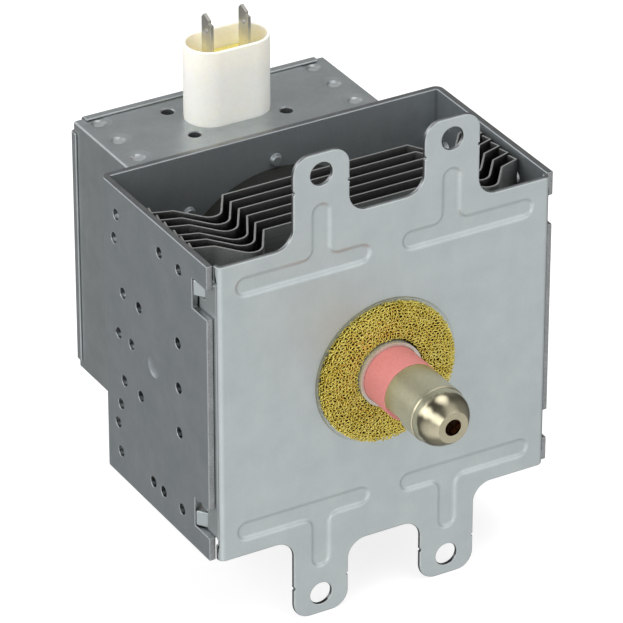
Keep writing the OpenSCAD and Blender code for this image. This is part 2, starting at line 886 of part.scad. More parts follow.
// Two copper rings at each end of the vanes
module strap_rings() {
    color("#B5714A")
        for (k = [0, 1]) {
            r = strap_r + k * (strap_w + strap_gap);
            ring(r + strap_w, r, vane_y0, vane_y0 + strap_h);
            ring(r + strap_w, r, vane_y1 - strap_h, vane_y1);
        }
}

// Funnel of iron that leads the field to the vanes, from its flange at Y zero
module pole_funnel() {
    turned([
        [step_r - fit, 0],
        [step_r - fit, pole_t],
        [pole_shoulder_r - pole_t / 2, pole_t],
        [pole_face_r - pole_t / 2, pole_t + pole_dip],
        [pole_bore_r, pole_t + pole_dip],
        [pole_bore_r, pole_dip],
        [pole_face_r, pole_dip],
        [pole_shoulder_r, 0]]);
}

// Front pole piece, with a hole that the antenna lead passes through
module front_pole_piece() {
    color("#8A8F91")
        difference() {
            translate([0, tube_y0 + seal_flange_t, 0])
                pole_funnel();
            translate([antenna_lead_x - antenna_lead_r / 2, tube_y0 - bite, 0])
                along_y()
                    cylinder(h = vane_y0 - tube_y0, r = antenna_lead_r + pole_hole_gap);
        }
}

// Rear pole piece
module rear_pole_piece() {
    color("#8A8F91")
        translate([0, tube_y1 - seal_flange_t, 0])
            mirror([0, 1, 0])
                pole_funnel();
}

// Thoriated tungsten helix between the end hats
module filament() {
    start = front_hat_y + hat_t + filament_wire_d / 2;
    end = rear_hat_y - filament_wire_d / 2;
    steps = coil_steps * filament_turns;
    color("#5E6062")
        along_y()
            swept_wire([for (i = [0:steps])
                let (a = 360 * filament_turns * i / steps)
                [filament_r * cos(a), filament_r * sin(a), start + (end - start) * i / steps]],
                filament_wire_d / 2, wire_sides);
}

// Disc that carries the front end of the filament
module front_end_hat() {
    color("#77797B")
        ring(hat_r, lead_d / 2, front_hat_y, front_hat_y + hat_t);
}

// Disc that carries the rear end of the filament, with a hole that clears the centre lead
module rear_end_hat() {
    color("#77797B")
        ring(hat_r, hat_hole_r, rear_hat_y, rear_hat_y + hat_t);
}

// Molybdenum rod from the front hat to the stem
module centre_lead() {
    stem_bend_y = lead_bend_y + 2 * stem_pin_x;
    path = [[0, front_hat_y, 0], [0, lead_bend_y, 0], [-stem_pin_x, stem_bend_y, 0],
        [-stem_pin_x, lead_end_y, 0]];
    color("#77797B")
        swept_wire(path, lead_d / 2, lead_sides);
}

// Molybdenum rod from the rear hat to the stem
module side_lead() {
    color("#77797B")
        translate([stem_pin_x, rear_hat_y + hat_t, 0])
            along_y()
                cylinder(h = lead_end_y - rear_hat_y - hat_t, d = lead_d);
}

// Ceramic plug that closes the tube and carries both cathode leads
module stem_ceramic() {
    color("#E9E2D8")
        difference() {
            union() {
                ring(seal_body_r, 0, stem_y0, stem_y1);
                ring(seal_body_r - seal_t - fit, 0, stem_y0 - stem_plug, stem_y0 + bite);
            }
            for (x = [-stem_pin_x, stem_pin_x])
                translate([x, stem_y0 - stem_plug - bite, 0])
                    along_y()
                        cylinder(h = stem_len + stem_plug + 2 * bite, r = lead_d / 2 + fit);
        }
}

// Middle line of one fin's right wing, from the flat middle out to the wall
function wing_path(set) = concat(
    [for (i = [0:trough_facets])
        let (a = trough_turn * (2 * i / trough_facets - 1))
        [trough_x + trough_r * sin(a), set - fin_dip + trough_r * (1 - cos(a))]],
    [[kink_x, set - kink_drop], [fin_end_x, set + wing_end_rise],
        [fin_end_x, set + wing_end_rise] + wing_tail]);

// Folded aluminium fin pressed onto the anode
module fin(index) {
    y = fin_y0 + index * fin_pitch;
    right = concat([[fin_mid_x, 0]], wing_path(0));
    set_wing = concat([[fin_mid_x, 0]], wing_path(wing_set[index]));
    last = len(right) - 1;
    left = [for (i = [last:-1:0]) [-set_wing[i].x, set_wing[i].y]];
    color("#C4C8CA")
        translate([0, y, 0])
            difference() {
                union() {
                    linear_extrude(fin_h, center = true)
                        folded_strip(concat(left, right), fin_t);
                    ring(anode_r + fit + collar_wall, anode_r / 2, 0, collar_h);
                }
                ring(anode_r + fit, 0, -bite, collar_h + bite);
            }
}

// Sheet steel box behind the yoke, open at the rear
module filter_box() {
    color("#7C8080") {
        difference() {
            sheet(yoke_d, box_d)
                rounded_rect(box_w, box_h, box_r);
            sheet(yoke_d + box_t, box_d)
                rounded_rect(box_w - 2 * box_t, box_h - 2 * box_t, box_r - box_t);
            translate([0, yoke_d - bite, 0])
                along_y()
                    cylinder(h = box_t + 2 * bite, r = tube_hole_r);
            translate([0, case_y, flange_z - bite])
                linear_extrude(box_t + 2 * bite)
                    stadium(case_w + 2 * fit, case_d + 2 * fit);
            burr_places()
                translate([0, 0, flange_z - bite])
                    cylinder(h = box_t + 2 * bite, r = burr_r - burr_wall / 2);
            for (x = [-clinch_x, clinch_x], i = [0:2])
                translate([x, box_y1 - clinch_end - i * clinch_pitch, box_top])
                    clinch();
        }
        burr_places()
            burr();
    }
}

// Pressed joint in a sheet: a shallow dish with a pit, sunk from the origin
module clinch() {
    dish_w = clinch_r - clinch_pit_r;
    rotate_extrude()
        polygon([
            [0, -clinch_pit_depth],
            [clinch_pit_r - clinch_pit_draft, -clinch_pit_depth],
            [clinch_pit_r, -clinch_depth],
            [clinch_r + dish_w, clinch_depth],
            [0, clinch_depth]]);
}

// Section of a bent rim, inwards and forwards from its outer corner
module rim_section() {
    translate([-cover_bend_r, -cover_bend_r])
        intersection() {
            difference() {
                circle(cover_bend_r);
                circle(cover_bend_r - cover_t);
            }
            square(cover_bend_r);
        }
    translate([-cover_t, -cover_rim])
        square([cover_t, cover_rim - cover_bend_r]);
}

// Bent rim whose outer side is x away from the middle
module cover_edge(x, length) {
    linear_extrude(length, center = true)
        translate([x, cover_y1])
            rim_section();
}

// Lid that closes the filter box, with a bent rim over each rear edge, open at the corners
module filter_cover() {
    color("#868A8A") {
        sheet(cover_y1 - cover_t, cover_t)
            rounded_rect(2 * (cover_x - cover_bend_r), 2 * (cover_z - cover_bend_r), box_r);
        both_sides()
            cover_edge(cover_x, box_h - 2 * rim_corner);
        for (end = [0, 1])
            mirror([0, 0, end])
                rotate([0, -90, 0])
                    cover_edge(cover_z, box_w - 2 * rim_corner);
    }
}

// The four places round the connector where the box's sheet is drawn through the plate below
module burr_places() {
    for (x = [-burr_x, burr_x], y = [-burr_y, burr_y])
        translate([x, case_y + y, 0])
            children();
}

// Neck of a burred hole, with a rolled edge above and a lip that is flared under the plate
module burr() {
    lip_top = flange_z - flange_t;
    rotate_extrude()
        polygon([
            [burr_hole_r, lip_top - burr_lip_t],
            [burr_r + burr_lip, lip_top - burr_lip_t],
            [burr_r + burr_lip, lip_top],
            [burr_r, lip_top],
            [burr_r, box_top],
            [burr_hole_r + burr_edge, box_top],
            [burr_hole_r, box_top - burr_edge]]);
}

// Plate inside the box that holds the connector's ledge up
module capacitor_flange() {
    color("#A7ABAA")
        difference() {
            translate([0, case_y, flange_z - flange_t])
                linear_extrude(flange_t)
                    rounded_rect(case_w + 2 * flange_margin, case_d + flange_margin, box_r);
            translate([0, case_y, flange_z - flange_t - bite])
                linear_extrude(flange_t + 2 * bite)
                    stadium(case_w + 2 * fit, case_d + 2 * fit);
            burr_places()
                translate([0, 0, flange_z - flange_t - bite])
                    cylinder(h = flange_t + 2 * bite, r = burr_r + fit);
        }
}

// Oval insulating case of the feed-through capacitor, with a ledge under the plate
module connector_case() {
    ledge_top = flange_z - flange_t;
    color("#E8E6DC")
        translate([0, case_y, 0])
            difference() {
                union() {
                    translate([0, 0, case_bottom])
                        linear_extrude(case_top - case_bottom)
                            stadium(case_w, case_d);
                    translate([0, 0, ledge_top - ledge_t])
                        linear_extrude(ledge_t)
                            stadium(case_w + 2 * ledge, case_d + 2 * ledge);
                }
                translate([0, 0, case_bottom - bite])
                    linear_extrude(case_top - case_bottom + 2 * bite)
                        stadium(case_w - 2 * case_wall, case_d - 2 * case_wall);
            }
}

// Filling of the case between two heights, with slots that the blades pass through
module case_filling(z0, z1) {
    difference() {
        translate([0, case_y, z0])
            linear_extrude(z1 - z0)
                stadium(case_w - 2 * case_wall - 2 * fit, case_d - 2 * case_wall - 2 * fit);
        for (x = [-blade_x, blade_x])
            translate([x, case_y, (z0 + z1) / 2])
                cube([blade_t + fit, blade_w + fit, z1 - z0 + 2 * bite], center = true);
    }
}

// Ceramic body of the feed-through capacitor
module capacitor_block() {
    color("#D9D2C4")
        case_filling(case_bottom, case_bottom + block_h);
}

// Casting resin above the capacitor, which forms the floor of the connector
module potting_resin() {
    color("#D8CE7E")
        case_filling(case_bottom + block_h, case_top - recess_d);
}

// Tinned blade with a sloping top, a step at its front edge and a catch hole
module blade(x) {
    half = blade_w / 2;
    translate([x - blade_t / 2, case_y, 0])
        rotate([90, 0, 90])
            linear_extrude(blade_t)
                difference() {
                    polygon([
                        [-half, blade_bottom],
                        [half, blade_bottom],
                        [half, blade_top - blade_cut],
                        [half - blade_cut, blade_top],
                        [blade_step - half, blade_top - blade_slope],
                        [blade_step - half, blade_top - blade_step_drop],
                        [-half, blade_top - blade_step_drop]]);
                    translate([0, blade_top - blade_hole_drop])
                        circle(d = blade_hole_d);
                }
}

// Left blade terminal
module terminal_left() {
    color("#B4B4AE")
        blade(-blade_x);
}

// Right blade terminal
module terminal_right() {
    color("#B4B4AE")
        blade(blade_x);
}

// Route of the right choke's wire, from a cathode lead through the coil to a blade
function choke_path() = concat(
    lead_in,
    [for (i = [0:coil_steps * coil_turns])
        let (a = 360 * i / coil_steps - 90)
        [coil_x + coil_r * cos(a), coil_y + coil_r * sin(a), coil_z + coil_pitch * i / coil_steps]],
    lead_out);

// Right choke: copper wire wound on a ferrite core
module choke_right() {
    color("#A8602F")
        swept_wire(choke_path(), wire_r, wire_sides);
}

// Left choke
module choke_left() {
    mirror([1, 0, 0])
        choke_right();
}

// Ferrite rod inside the right choke
module ferrite_right() {
    color("#3A3C3E")
        translate([coil_x, coil_y, coil_z - core_overhang])
            cylinder(h = core_len, r = core_r);
}

// Ferrite rod inside the left choke
module ferrite_left() {
    mirror([1, 0, 0])
        ferrite_right();
}

mounting_plate();
yoke();
front_magnet();
rear_magnet();
rf_gasket();
front_seal_cup();
rear_seal_cup();
antenna_ceramic();
antenna_cap();
exhaust_tube();
antenna_lead();
anode_cylinder();
anode_vanes();
strap_rings();
front_pole_piece();
rear_pole_piece();
filament();
front_end_hat();
rear_end_hat();
centre_lead();
side_lead();
stem_ceramic();
fin(0);  // fin_1
fin(1);  // fin_2
fin(2);  // fin_3
fin(3);  // fin_4
fin(4);  // fin_5
fin(5);  // fin_6
filter_box();
filter_cover();
capacitor_flange();
capacitor_block();
connector_case();
potting_resin();
terminal_left();
terminal_right();
choke_left();
choke_right();
ferrite_left();
ferrite_right();
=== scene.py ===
# %% [markdown]
# # A magnetron, dressed for the camera
# The solids of a magnetron, the tube that makes the waves in a microwave oven, come ready made and already in
# their places. This lesson gives them what solids lack: rounded and worn sheet edges, tight folds, a knitted wire
# gasket, and a finish for each material. Everything is in metres, and the origin is on the antenna's axis at the
# front of the plate.

# %% Load the solids
import math

import bmesh
import bpy
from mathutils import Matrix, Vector


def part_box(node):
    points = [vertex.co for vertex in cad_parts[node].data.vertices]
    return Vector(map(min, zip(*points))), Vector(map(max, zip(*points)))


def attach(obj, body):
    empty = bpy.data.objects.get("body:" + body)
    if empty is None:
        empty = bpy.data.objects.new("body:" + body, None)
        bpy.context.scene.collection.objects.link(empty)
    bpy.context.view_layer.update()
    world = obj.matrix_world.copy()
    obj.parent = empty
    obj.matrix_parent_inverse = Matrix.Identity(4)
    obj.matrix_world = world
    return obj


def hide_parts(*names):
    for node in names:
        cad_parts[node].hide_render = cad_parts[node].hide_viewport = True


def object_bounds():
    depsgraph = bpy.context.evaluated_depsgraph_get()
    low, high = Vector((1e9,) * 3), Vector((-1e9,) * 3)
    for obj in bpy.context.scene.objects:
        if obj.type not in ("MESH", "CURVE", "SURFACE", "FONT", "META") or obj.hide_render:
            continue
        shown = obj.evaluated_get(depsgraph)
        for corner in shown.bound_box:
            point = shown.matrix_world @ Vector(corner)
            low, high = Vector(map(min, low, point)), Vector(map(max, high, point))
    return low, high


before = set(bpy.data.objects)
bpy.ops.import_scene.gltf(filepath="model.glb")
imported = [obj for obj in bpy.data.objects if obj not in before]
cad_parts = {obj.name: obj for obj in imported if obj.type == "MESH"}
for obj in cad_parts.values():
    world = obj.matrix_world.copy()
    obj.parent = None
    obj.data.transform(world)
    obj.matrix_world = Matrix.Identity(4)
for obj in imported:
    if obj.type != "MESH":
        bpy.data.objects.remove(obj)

CAD_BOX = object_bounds()
MM = 0.001
scene = bpy.context.scene
print(f"{len(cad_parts)} solids loaded")

# %% [markdown]
# ## The camera
# The photograph is taken from the front left and from above, through a long lens, so parallel edges stay nearly
# parallel. The lens is given for a sensor 36 mm wide. The camera looks along its own minus Z axis, so its place
# and the direction that points back from the object settle it.

# %% Camera
camera = bpy.data.objects.new("camera", bpy.data.cameras.new("camera"))
scene.collection.objects.link(camera)
camera.data.sensor_width = 36.0
camera.data.lens = 284.71
camera.data.clip_start = 0.05
camera.location = (-0.513977, -0.858430, 0.585532)
camera.rotation_mode = "QUATERNION"
camera.rotation_quaternion = Vector((-0.4333, -0.7533, 0.4949)).to_track_quat("Z", "Y")
scene.camera = camera
print("camera", [round(value, 3) for value in camera.location])

# %% [markdown]
# ## Two small tools
# Colours are written as they are read from a screen, in sRGB, and Blender's sockets want linear light, so one
# function turns a hex value to linear. The other adds a node to a tree, sets it up and links it, so that each
# material below reads as a short list of what it is made of.

# %% Colour and node tools
def linear(hex_code):
    """An sRGB hex colour as linear red, green, blue and alpha."""
    shares = [int(hex_code[i:i + 2], 16) / 255 for i in (1, 3, 5)]
    return [s / 12.92 if s <= 0.04045 else ((s + 0.055) / 1.055) ** 2.4 for s in shares] + [1.0]


def add(tree, kind, settings=None, links=None):
    """Adds one node. A setting is an attribute if the node has one of that name, and otherwise a socket's value."""
    node = tree.nodes.new(kind)
    for key, value in (settings or {}).items():
        if isinstance(key, str) and hasattr(node, key):
            setattr(node, key, value)
        else:
            node.inputs[key].default_value = value
    for key, source in (links or {}).items():
        tree.links.new(source, node.inputs[key])
    return node


print("zinc grey in linear light", [round(value, 3) for value in linear("#B0B6B6")])

# %% [markdown]
# ## Floor and light
# Bare sheet metal shows little of its own: most of what the eye sees on it is the room. A studio surround that is
# bright towards the front and dim towards the back makes the plate light and the side wall dark, as in the
# photograph. The floor is pale and plain. It is kept out of the reflections, so that the plate mirrors the
# surround and not the floor right under it.
#
# The surround is a sum of softboxes on a dim ground. Each has a direction, the cosine of the angle where it starts,
# the cosine where it is full, and its strength. For a flat face it is easy to work out which direction the camera
# sees in it, so each softbox can be placed for the face that it should light. Three lamps add what matt pieces need.
# They are kept out of the reflections, where they would show as hard patches.

# %% Floor
FLOOR_HALF = 6.0
floor_mesh = bpy.data.meshes.new("floor")
floor_height = CAD_BOX[0].z
corners = [(-1, -1), (1, -1), (1, 1), (-1, 1)]
floor_mesh.from_pydata([(x * FLOOR_HALF, y * FLOOR_HALF, floor_height) for x, y in corners], [], [(0, 1, 2, 3)])
floor = bpy.data.objects.new("floor", floor_mesh)
scene.collection.objects.link(floor)
floor.visible_glossy = False

paper = bpy.data.materials.new("pale_paper_floor")
paper.use_nodes = True
paper_shader = paper.node_tree.nodes["Principled BSDF"]
paper_shader.inputs["Base Color"].default_value = linear("#9C9C9A")
paper_shader.inputs["Roughness"].default_value = 0.9
paper_shader.inputs["Emission Color"].default_value = linear("#FFFFFF")
paper_shader.inputs["Emission Strength"].default_value = 0.78
floor_mesh.materials.append(paper)
print("floor at", round(floor_height / MM, 2), "mm")

# %% Studio surround
world = bpy.data.worlds.new("studio_surround")
scene.world = world
world.use_nodes = True
sky = world.node_tree
sky.nodes.clear()
direction = add(sky, "ShaderNodeTexCoord").outputs["Generated"]
AMBIENT = 0.09
SOFTBOXES = [
    # the plate's face
    ((0.30, -0.88, -0.36), -0.15, 0.95, 0.64),
    # the plate's left bend
    ((-0.76, -0.45, -0.47), 0.66, 1.00, 0.65),
    # the left walls, which stay dark
    ((-0.43, 0.75, -0.50), 0.20, 1.00, 0.07),
    # the sides of the beads that look up
    ((0.40, -0.76, 0.50), 0.70, 1.00, 0.62),
    # the tops
    ((0.20, 0.75, 0.60), 0.45, 1.00, 0.20),
    # the folds between tops and left walls
    ((-0.43, 0.75, 0.49), 0.74, 1.00, 0.70),
    # a strip at the left in three parts, for the bright streak on the cap's nose
    ((-0.86, -0.07, 0.48), 0.88, 1.00, 2.40),
    ((-0.79, 0.44, 0.43), 0.90, 1.00, 1.60),
    ((-0.69, -0.63, 0.35), 0.90, 1.00, 1.80),
    # one overhead, for the second streak
    ((0.15, 0.00, 0.98), 0.88, 1.00, 1.80),
]
glow = None
for towards, start, stop, strength in SOFTBOXES:
    facing = add(sky, "ShaderNodeVectorMath", {"operation": "DOT_PRODUCT", 1: towards}, {0: direction})
    softbox = add(
        sky, "ShaderNodeMapRange",
        {"interpolation_type": "SMOOTHSTEP", 1: start, 2: stop, 3: 0.0, 4: strength},
        {0: facing.outputs["Value"]},
    )
    if glow is None:
        glow = add(sky, "ShaderNodeMath", {1: AMBIENT}, {0: softbox.outputs[0]})
    else:
        glow = add(sky, "ShaderNodeMath", {}, {0: glow.outputs[0], 1: softbox.outputs[0]})
surround = add(sky, "ShaderNodeBackground", {"Color": linear("#FCFDFF")}, {"Strength": glow.outputs[0]})
backdrop = add(sky, "ShaderNodeBackground", {"Color": linear("#FFFFFF"), "Strength": 1.0})
seen = add(sky, "ShaderNodeLightPath")
shown = add(
    sky, "ShaderNodeMixShader", {},
    {0: seen.outputs["Is Camera Ray"], 1: surround.outputs[0], 2: backdrop.outputs[0]},
)
add(sky, "ShaderNodeOutputWorld", {}, {0: shown.outputs[0]})
scene.view_settings.view_transform = "Standard"
print(len(SOFTBOXES), "softboxes made of", len(sky.nodes), "nodes")

# %% Soft lamps
for name, place, size, power in [
    ("key_left", (-1.10, -0.55, 0.75), 0.7, 6.0),
    ("fill_top", (0.15, -0.35, 1.30), 0.9, 8.5),
    ("rim_back", (0.70, 1.00, 0.70), 0.8, 4.0),
]:
    lamp = bpy.data.lights.new(name, "AREA")
    lamp.size = size
    lamp.energy = power
    lamp.specular_factor = 0.0
    lamp_object = bpy.data.objects.new(name, lamp)
    lamp_object.location = place
    lamp_object.rotation_mode = "QUATERNION"
    lamp_object.rotation_quaternion = Vector(place).to_track_quat("Z", "Y")
    lamp_object.visible_glossy = False
    scene.collection.objects.link(lamp_object)
    print("lamp", name, power, "W")

# %% [markdown]
# ## Zinc-coated steel sheet
# The plate, the yoke and the filter box are pressed from cold-rolled steel sheet with a thin zinc coat. Up close
# the coat is a fine grey grain with a slow mottle, and here and there a light scuff from handling. A metallic
# shader with a middling roughness gives the satin sheen. The sheets differ a little in tone, so one function
# makes the three, and the patterns are worked out from real sizes in millimetres.
#
# Painted highlight and painted shade follow the shape. An Ambient Occlusion node tells how closed in a point is.
# Turned inside, it finds the outer edges, which get a painted highlight, partly wear from handling. Turned
# outside, it finds the roots of beads and the insides of holes, which get painted shade down to near black.
# Painting them by hand would have to be done again after each change to the solids.

# %% Start of a material
def begin(name):
    """A new node material, with its tree, its shader and the Object coordinates that its patterns follow."""
    material = bpy.data.materials.new(name)
    material.use_nodes = True
    tree = material.node_tree
    return material, tree, tree.nodes["Principled BSDF"], add(tree, "ShaderNodeTexCoord").outputs["Object"]


print("patterns follow Object coordinates, in metres:", MM, "is a millimetre")

# %% Zinc sheet material
def zinc_sheet(name, light, dark, roughness, turn, scuffs, reach):
    """Zinc-coated steel: satin grey metal, mottled, with fine grain and faint scuffs along one direction.

    Its edges get a painted highlight, and painted shade darkens it within reach, in mm, of the roots of beads,
    holes and notches.
    """
    material, tree, shader, place = begin(name)
    shader.inputs["Metallic"].default_value = 0.85
    # slow mottle of the zinc coat, patches of about 9 mm
    mottle = add(tree, "ShaderNodeTexNoise", {"Scale": 1 / (9 * MM), "Detail": 4.0, "Roughness": 0.6}, {0: place})
    # grain of the coat, about 0.1 mm on the real sheet, drawn at 0.45 mm so that it shows
    grain = add(tree, "ShaderNodeTexNoise", {"Scale": 1 / (0.45 * MM), "Detail": 2.0}, {0: place})
    # rolling streaks: 0.5 mm wide and some 25 mm long
    rolled = add(tree, "ShaderNodeMapping", {"Rotation": turn, "Scale": (1.0, 1.0, 0.02)}, {0: place})
    streak = add(tree, "ShaderNodeTexNoise", {"Scale": 1 / (0.5 * MM), "Detail": 2.0}, {0: rolled.outputs[0]})
    # scuffs: thin bright lines across the rolling direction, a few to each sheet
    slant = (turn[0] + 0.5, turn[1] + 0.9, turn[2] + 0.4)
    rubbed = add(tree, "ShaderNodeMapping", {"Rotation": slant, "Scale": (1.0, 1.0, 0.06)}, {0: place})
    scratch = add(tree, "ShaderNodeTexNoise", {"Scale": 1 / (0.7 * MM), "Detail": 1.0}, {0: rubbed.outputs[0]})
    scuff = add(tree, "ShaderNodeMapRange", {1: 0.72, 2: 0.80, 3: 0.0, 4: scuffs}, {0: scratch.outputs[0]})
    tone = add(
        tree, "ShaderNodeMath", {"operation": "MULTIPLY_ADD", 1: 0.12},
        {0: streak.outputs[0], 2: mottle.outputs[0]},
    )
    sharp = add(
        tree, "ShaderNodeMath", {"operation": "MULTIPLY_ADD", 1: 0.35}, {0: grain.outputs[0], 2: tone.outputs[0]}
    )
    share = add(tree, "ShaderNodeMapRange", {1: 0.45, 2: 1.00}, {0: sharp.outputs[0]})
    coat = add(
        tree, "ShaderNodeMix", {"data_type": "RGBA", 6: linear(dark), 7: linear(light)}, {0: share.outputs[0]}
    )
    # painted highlight, partly handling wear: the outer 0.3 mm of each edge is mixed towards light grey, as are the
    # scuffs
    ridge = add(tree, "ShaderNodeAmbientOcclusion", {"samples": 6, "inside": True, "Distance": 0.3 * MM})
    painted_edge_highlight = add(tree, "ShaderNodeMapRange", {1: 0.9, 2: 0.5, 3: 0.0, 4: 0.8}, {0: ridge.outputs["AO"]})
    scuff_and_edge_highlight = add(tree, "ShaderNodeMath", {"operation": "MAXIMUM"}, {0: scuff.outputs[0], 1: painted_edge_highlight.outputs[0]})
    scuffed_and_highlighted_coat = add(
        tree, "ShaderNodeMix", {"data_type": "RGBA", 7: linear("#E6E9E8")},
        {0: scuff_and_edge_highlight.outputs[0], 6: coat.outputs[2]},
    )
    # painted shade: near the roots of beads, in holes and in notches the coat is mixed towards near black
    root = add(tree, "ShaderNodeAmbientOcclusion", {"samples": 6, "only_local": True, "Distance": reach * MM})
    painted_recess_shade = add(tree, "ShaderNodeMapRange", {1: 0.93, 2: 0.45, 3: 0.0, 4: 0.9}, {0: root.outputs["AO"]})
    recess_shaded_coat = add(
        tree, "ShaderNodeMix", {"data_type": "RGBA", 7: linear("#1E201F")},
        {0: painted_recess_shade.outputs[0], 6: scuffed_and_highlighted_coat.outputs[2]},
    )
    tree.links.new(recess_shaded_coat.outputs[2], shader.inputs["Base Color"])
    gloss = add(
        tree, "ShaderNodeMapRange", {1: 0.5, 2: 1.15, 3: roughness + 0.07, 4: roughness - 0.05},
        {0: sharp.outputs[0]},
    )
    tree.links.new(gloss.outputs[0], shader.inputs["Roughness"])
    bump = add(tree, "ShaderNodeBump", {"Strength": 0.10, "Distance": 0.02 * MM}, {"Height": sharp.outputs[0]})
    tree.links.new(bump.outputs[0], shader.inputs["Normal"])
    return material


QUARTER = math.pi / 2
# reach is how far the painted shade spreads from recesses, in mm: 3 on the box, so that its holes go near black
plate_zinc = zinc_sheet(
    "zinc_plate_satin", "#C6CDCC", "#BBC2C2", roughness=0.40, turn=(0.0, 0.0, 0.0), scuffs=0.0, reach=0.5
)
yoke_zinc = zinc_sheet(
    "zinc_yoke_satin", "#BDC3C5", "#A7AEB1", roughness=0.38, turn=(QUARTER, 0.0, 0.0), scuffs=0.15, reach=0.8
)
box_zinc = zinc_sheet(
    "zinc_box_matt", "#C0C4C4", "#A8AEAF", roughness=0.37, turn=(0.0, QUARTER, 0.0), scuffs=0.35, reach=3.0
)
print("zinc finishes:", plate_zinc.name, yoke_zinc.name, box_zinc.name)

# %% [markdown]
# ## Aluminium, nickel, copper and the other metals of the tube
# The fins are thin rolled aluminium with streaks along the strip. The cap and the sleeves are drawn, nickel
# plated, and warm in tone. Copper, iron and tungsten are inside the tube, where only a cut would show them, but
# they are part of the model and get their own finish too. They all have the same build, a tone that wanders
# between two colours along a direction, so one function makes them. An Ambient Occlusion node paints shade into
# corners and narrow gaps, such as those between the fins, mixing the tone towards near black. Where a punch has
# cut a sheet, its zinc is gone and the bare steel shows a shade darker.

# %% Drawn and rolled metals
def worked_metal(name, light, dark, roughness, width, stretch, shade=0.1, metallic=1.0):
    """Bare or plated metal with streaks: width is the streak's width in mm, stretch its scale along X, Y and Z.

    Corners and gaps narrower than shade, in mm, get painted shade. A plate that is dull scatters light, so it is
    less metallic to the eye.
    """
    material, tree, shader, place = begin(name)
    shader.inputs["Metallic"].default_value = metallic
    along = add(tree, "ShaderNodeMapping", {"Scale": stretch}, {0: place})
    streak = add(tree, "ShaderNodeTexNoise", {"Scale": 1 / (width * MM), "Detail": 4.0}, {0: along.outputs[0]})
    # stains and handling, patches of about 4 mm
    stain = add(tree, "ShaderNodeTexNoise", {"Scale": 1 / (4 * MM), "Detail": 3.0}, {0: place})
    both = add(
        tree, "ShaderNodeMath", {"operation": "MULTIPLY_ADD", 1: 0.6}, {0: stain.outputs[0], 2: streak.outputs[0]}
    )
    share = add(tree, "ShaderNodeMapRange", {1: 0.55, 2: 1.05}, {0: both.outputs[0]})
    tone = add(
        tree, "ShaderNodeMix", {"data_type": "RGBA", 6: linear(dark), 7: linear(light)}, {0: share.outputs[0]}
    )
    # painted shade: corners and gaps within shade mm of other surfaces are mixed towards near black
    gap = add(tree, "ShaderNodeAmbientOcclusion", {"samples": 6, "Distance": shade * MM})
    painted_gap_shade = add(tree, "ShaderNodeMapRange", {1: 0.75, 2: 0.35, 3: 0.0, 4: 0.9}, {0: gap.outputs["AO"]})
    gap_shaded_tone = add(
        tree, "ShaderNodeMix", {"data_type": "RGBA", 7: linear("#1C1B18")}, {0: painted_gap_shade.outputs[0], 6: tone.outputs[2]}
    )
    tree.links.new(gap_shaded_tone.outputs[2], shader.inputs["Base Color"])
    gloss = add(
        tree, "ShaderNodeMapRange", {1: 0.5, 2: 1.1, 3: roughness + 0.08, 4: roughness - 0.05},
        {0: both.outputs[0]},
    )
    tree.links.new(gloss.outputs[0], shader.inputs["Roughness"])
    bump = add(tree, "ShaderNodeBump", {"Strength": 0.08, "Distance": 0.02 * MM}, {"Height": streak.outputs[0]})
    tree.links.new(bump.outputs[0], shader.inputs["Normal"])
    return material


# streaks that run along the tube's axis, along the strip, or nowhere
ALONG_Y, ALONG_X, EVEN = (1.0, 0.15, 1.0), (0.05, 1.0, 1.0), (1.0, 1.0, 1.0)
# shade is the reach of the painted shade in mm: 6 darkens the gaps between the fins, 4 the iron flange seen down the
# box's holes
rolled_aluminium = worked_metal("rolled_aluminium_strip", "#DADBD8", "#BDBEBB", 0.45, 0.4, ALONG_X, shade=6.0)
drawn_nickel = worked_metal("drawn_nickel_plate", "#D0C8AC", "#BEB69A", 0.28, 0.15, ALONG_Y)
seal_nickel = worked_metal("nickel_iron_sleeve", "#D6D2C6", "#B9B5A9", 0.30, 0.35, ALONG_Y, metallic=0.6)
bare_copper = worked_metal("bare_drawn_copper", "#D08A62", "#A8623F", 0.32, 0.4, ALONG_Y)
pressed_iron = worked_metal("pressed_soft_iron", "#A5A8AB", "#7F8386", 0.45, 0.6, ALONG_Y, shade=4.0)
sheared_steel = worked_metal("sheared_steel_edge", "#B2B4B4", "#8C8E8E", 0.34, 0.3, EVEN, shade=0.5)
drawn_tungsten = worked_metal("drawn_tungsten_wire", "#86888B", "#5F6164", 0.40, 0.2, ALONG_Y)
print("tube metals ready")

# %% [markdown]
# ## The cap's nose
# The press tool polishes the cap's nose, and the drawn body behind it stays dull. Two materials would leave a hard
# line between them, so one material changes its roughness and its metal along the axis, by the Object coordinate's Y.
# The new links take the place of the plain values that the cap's metal was made with.

# %% Polished nose
NOSE_START, NOSE_END = -22.4 * MM, -23.8 * MM
cap_tree = drawn_nickel.node_tree
cap_shader = cap_tree.nodes["Principled BSDF"]
cap_place = add(cap_tree, "ShaderNodeTexCoord").outputs["Object"]
cap_along = add(cap_tree, "ShaderNodeSeparateXYZ", {}, {0: cap_place}).outputs["Y"]
for socket, body, nose in [("Roughness", 0.28, 0.16), ("Metallic", 0.86, 1.0)]:
    change = add(cap_tree, "ShaderNodeMapRange", {1: NOSE_START, 2: NOSE_END, 3: body, 4: nose}, {0: cap_along})
    cap_tree.links.new(change.outputs[0], cap_shader.inputs[socket])
    print("cap", socket, body, "to", nose)

# %% [markdown]
# ## Ceramics, ferrite, plastic and resin
# The antenna's insulator is alumina, fired pink and left matt. The magnets are sintered ferrite, a dull black
# with a coarse grain. The connector case is a moulded ivory plastic that lets a little light in, and the epoxy
# poured into it has gone yellow. These are not metals, so their colour comes from inside, and a little
# subsurface light keeps thin rims from looking like painted card.

